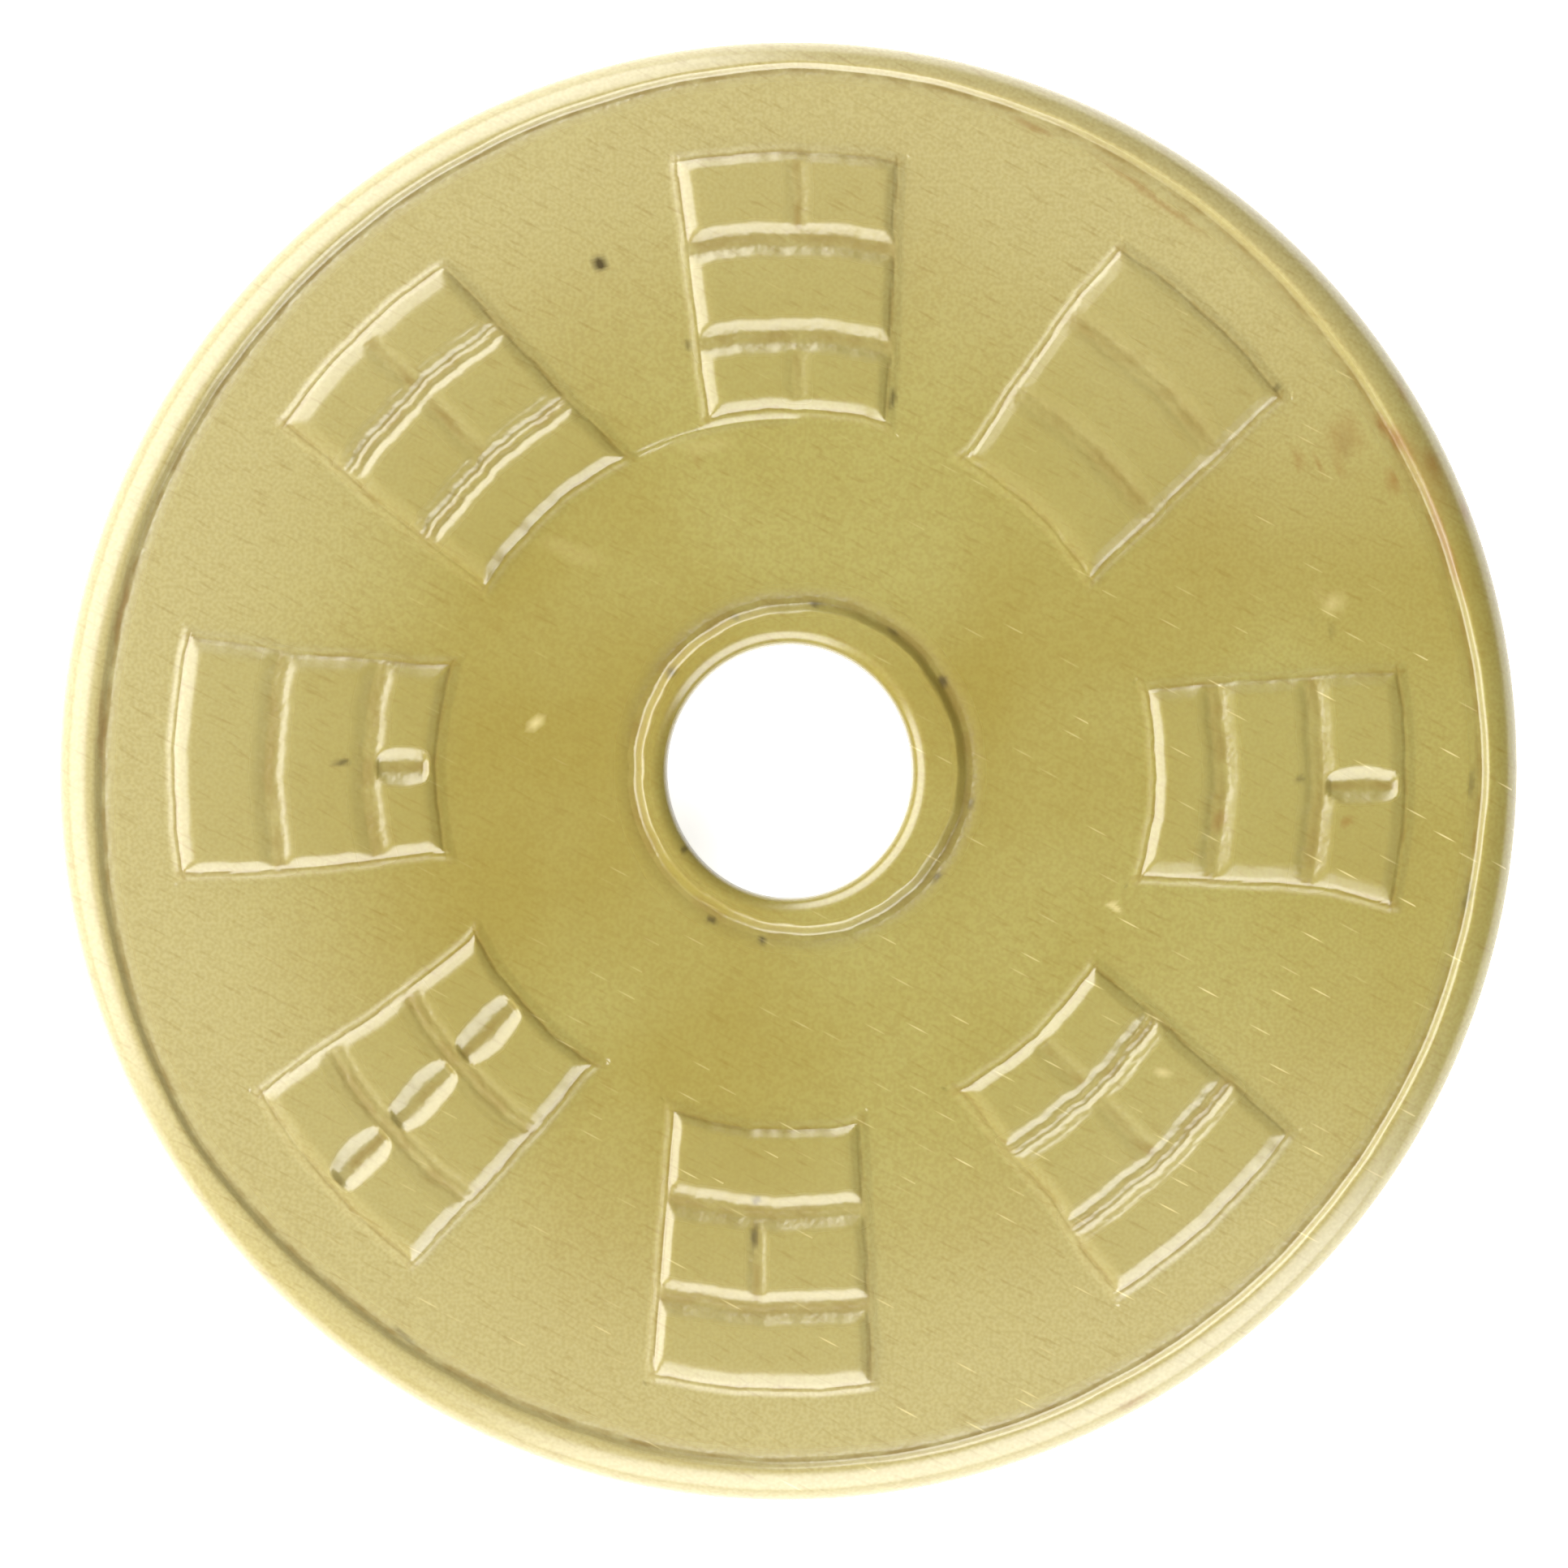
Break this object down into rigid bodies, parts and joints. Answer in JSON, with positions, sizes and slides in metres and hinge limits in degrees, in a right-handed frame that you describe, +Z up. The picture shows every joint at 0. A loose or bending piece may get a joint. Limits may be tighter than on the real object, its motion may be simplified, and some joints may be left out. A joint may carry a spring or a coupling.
{
  "type": "jade bi disc",
  "caption": "Flat round jade disc with a round central hole, turned rim and ring lines and trigrams in low relief.",
  "frame": {"origin": "centre of the disc's plain underside, on the surface it lies on", "axes": "+Z up out of the carved face, +Y towards the trigram whose middle bar alone is whole"},
  "size_m": [0.056, 0.056, 0.005],
  "materials": {
    "jade": "waxy polish, pale yellow-green nephrite, faintly translucent"
  },
  "bodies": {
    "root": {"bi_disc": "jade"}
  },
  "joints": []
}
